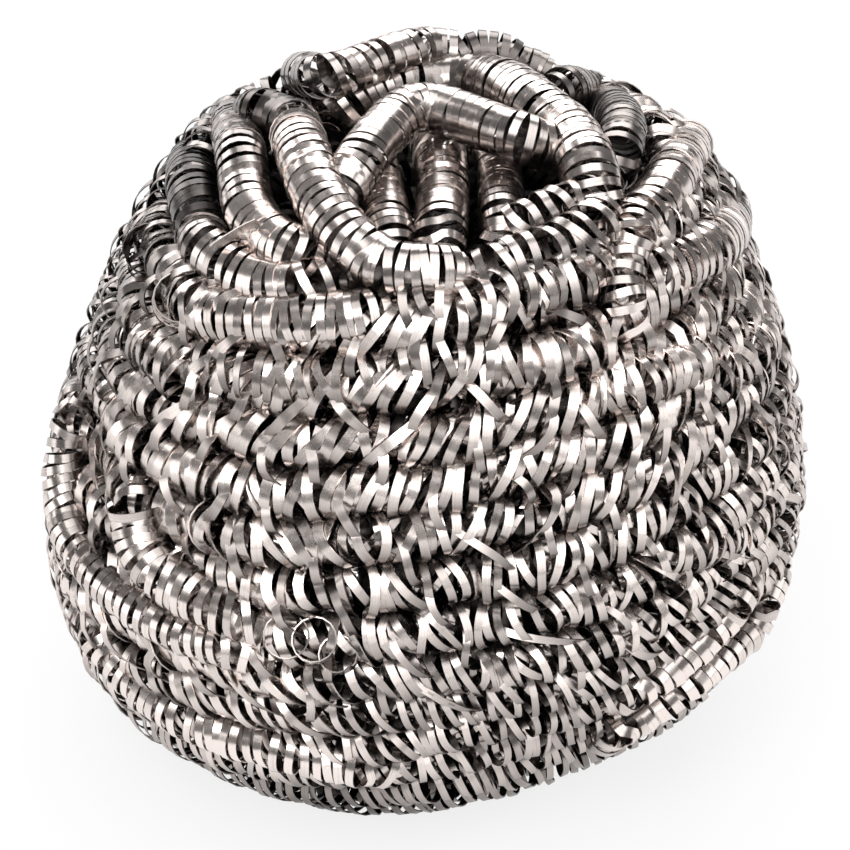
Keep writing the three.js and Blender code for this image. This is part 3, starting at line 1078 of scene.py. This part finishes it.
# %% Second layer
NEST_EDGE = 9 * MM
UNDER_DEPTH = 2.1 * MM
UNDER_MIDDLE = 40 * MM
under_section = ball_section(UNDER_DEPTH)
under_place = {"seed": 4.0, "section": under_section, "turned": math.pi}
under_look = {
    "Ribbon Width": 0.7 * MM, "Slack": 0.6, "Lean": 1.2, "Arch": 1.2, "Swell": 0.2, "Twist": 0.9,
}
upper_under_rows = rows_between(NEST_EDGE, UNDER_MIDDLE, pitch=1.35 * MM, **under_place)
lower_under_rows = rows_between(UNDER_MIDDLE, section_end(under_section), pitch=1.5 * MM, **under_place)
upper_second_layer = wind(
    "upper_second_layer", [upper_under_rows], painted_shade_steel, Step=0.09 * MM, Seed=4.0, **under_look
)
lower_second_layer = wind(
    "lower_second_layer", [lower_under_rows], painted_shade_steel, Step=0.1 * MM, Seed=4.5, **under_look
)

# %% Third layer
DEEP_DEPTH = 4.5 * MM
deep_section = ball_section(DEEP_DEPTH)
deep_strand = spiral_strand(
    deep_section, NEST_EDGE, section_end(deep_section),
    row_pitch=5.2 * MM, start_angle=1.0, unevenness=1.2 * MM, seed=12.0,
)
deep_rows = row_values(deep_strand, COIL_RADIUS, pitch=2.0 * MM, seed=13.0)
third_layer = wind("third_layer", [deep_rows], painted_shade_deep_steel, Step=0.2 * MM, Seed=7.0)

# %% [markdown]
# ## Floor of the nest
# The hole of the nest ends in more coil, painted almost black as painted shade. A flat spiral of rows at
# one height closes it, so that no light comes up from inside the ball.

# %% Floor of the nest
FLOOR_HEIGHT = 48 * MM
FLOOR_RADIUS = 19 * MM
FLOOR_START = 1.5 * MM
FLOOR_ROWS = 4.6 * MM
FLOOR_TURNS = 1.6 * MM


def floor_strand():
    """A flat spiral from the middle of the hole outwards."""
    places = []
    radius = FLOOR_START
    angle = 0.0
    while radius < FLOOR_RADIUS:
        places.append(Vector((radius * math.cos(angle), radius * math.sin(angle), FLOOR_HEIGHT)))
        angle += STRAND_STEP / radius
        radius = FLOOR_START + FLOOR_ROWS * angle / (2 * math.pi)
    outwards = [Vector((0, 0, 1))] * len(places)
    return {
        "places": places, "outwards": outwards, "radius": COIL_RADIUS, "pitch": FLOOR_TURNS, "lean": 0.0,
    }


nest_bottom = wind("nest_bottom", [floor_strand()], painted_shade_dark_steel, Step=0.1 * MM, Seed=6.0)

# %% [markdown]
# ## Riding on the model
# Each piece rides on the one body and stands for the solid.

# %% Pieces to the frame
pieces = [
    upper_rows, middle_rows, lower_rows, foot_rows, nest_loops, far_loops, loose_lengths, side_lengths,
    sprung_turns, stray_turns, upper_second_layer, lower_second_layer, third_layer, nest_bottom,
]
for piece in pieces:
    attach(piece, "root")
    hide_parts("scourer")
print(len(pieces), "pieces ride on the root")

# %% [markdown]
# ## The floor
# The photograph has a plain white ground with a faint shadow. A floor of white paper gives both: for the
# camera and the metal most of its light is its own, which keeps it even and white near the object, and
# the rest is lit by the lamps, which keeps the shadow. Further away it is only paper.

# %% Floor
FLOOR_SIZE = 3.0
PAPER = 0.9
PAPER_ROUGHNESS = 0.9
EVEN_RANGE = (160 * MM, 400 * MM)
EVEN_SHARE = 0.82


def plane(name, size):
    mesh = bpy.data.meshes.new(name)
    corners = [(-size, -size, 0), (size, -size, 0), (size, size, 0), (-size, size, 0)]
    mesh.from_pydata(corners, [], [(0, 1, 2, 3)])
    made = bpy.data.objects.new(name, mesh)
    scene.collection.objects.link(made)
    return made


def white_paper():
    """White paper that the camera and the metal see evenly bright near the object, with its shadow."""
    material = bpy.data.materials.new("white_paper")
    material.use_nodes = True
    tree = material.node_tree
    sheet = tree.nodes["Principled BSDF"]
    sheet.inputs["Base Color"].default_value = (PAPER, PAPER, PAPER, 1)
    sheet.inputs["Roughness"].default_value = PAPER_ROUGHNESS
    glow = add_node(tree, "ShaderNodeEmission", {"Color": (1, 1, 1, 1), "Strength": 1.0}).outputs[0]
    ray = add_node(tree, "ShaderNodeLightPath").outputs
    seen = maths(tree, "MAXIMUM", ray["Is Camera Ray"], ray["Is Glossy Ray"])
    seen = maths(tree, "MAXIMUM", seen, ray["Is Transmission Ray"])
    away = vectors_to_number(tree, "LENGTH", object_place(tree))
    share = maths(tree, "MULTIPLY", seen, ranged(tree, away, *EVEN_RANGE, EVEN_SHARE, 0.0))
    mixed = add_node(tree, "ShaderNodeMixShader", {0: share, 1: sheet.outputs[0], 2: glow}).outputs[0]
    tree.links.new(mixed, tree.nodes["Material Output"].inputs["Surface"])
    return material


floor = plane("floor", FLOOR_SIZE)
floor.data.materials.append(white_paper())
print("floor", 2 * FLOOR_SIZE, "m wide")

# %% [markdown]
# ## Lamps
# Metal shows what stands round it, so the light is soft and comes from many sides, as in a studio: a
# large lamp overhead, one behind, one above in front on the left, and weaker ones in front and at
# both sides. A dim white world fills the rest. The levels are plain, so that the steel's colour
# renders about as it is written.

# %% Lamps and sky
BALL_FRONT = (0, 0, 30 * MM)
BALL_TOP = (0, 0, 50 * MM)
SKY = 0.14


def area_lamp(name, place, target, size, power):
    data = bpy.data.lights.new(name, "AREA")
    data.shape = "SQUARE"
    data.size = size
    data.energy = power
    lamp = bpy.data.objects.new(name, data)
    lamp.location = place
    lamp.rotation_euler = (Vector(target) - Vector(place)).to_track_quat("-Z", "Y").to_euler()
    scene.collection.objects.link(lamp)


area_lamp("overhead", place=(0.05, -0.22, 0.76), target=BALL_FRONT, size=0.95, power=4.5)
area_lamp("key", place=(-0.16, -0.42, 0.55), target=BALL_FRONT, size=0.32, power=1.5)
area_lamp("front", place=(0.06, -0.62, 0.28), target=BALL_FRONT, size=0.5, power=1.2)
area_lamp("back", place=(0.06, 0.60, 0.42), target=BALL_TOP, size=0.55, power=2.7)
area_lamp("left back", place=(-0.36, 0.50, 0.25), target=BALL_TOP, size=0.36, power=1.2)
area_lamp("left", place=(-0.62, -0.10, 0.16), target=BALL_FRONT, size=0.36, power=0.7)
area_lamp("right", place=(0.60, -0.06, 0.24), target=BALL_FRONT, size=0.42, power=0.75)

world = bpy.data.worlds.new("studio")
scene.world = world
world.use_nodes = True
sky = world.node_tree.nodes["Background"]
sky.inputs["Color"].default_value = (1, 1, 1, 1)
sky.inputs["Strength"].default_value = SKY
scene.view_settings.view_transform = "Standard"
print(len(bpy.data.lights), "lamps")
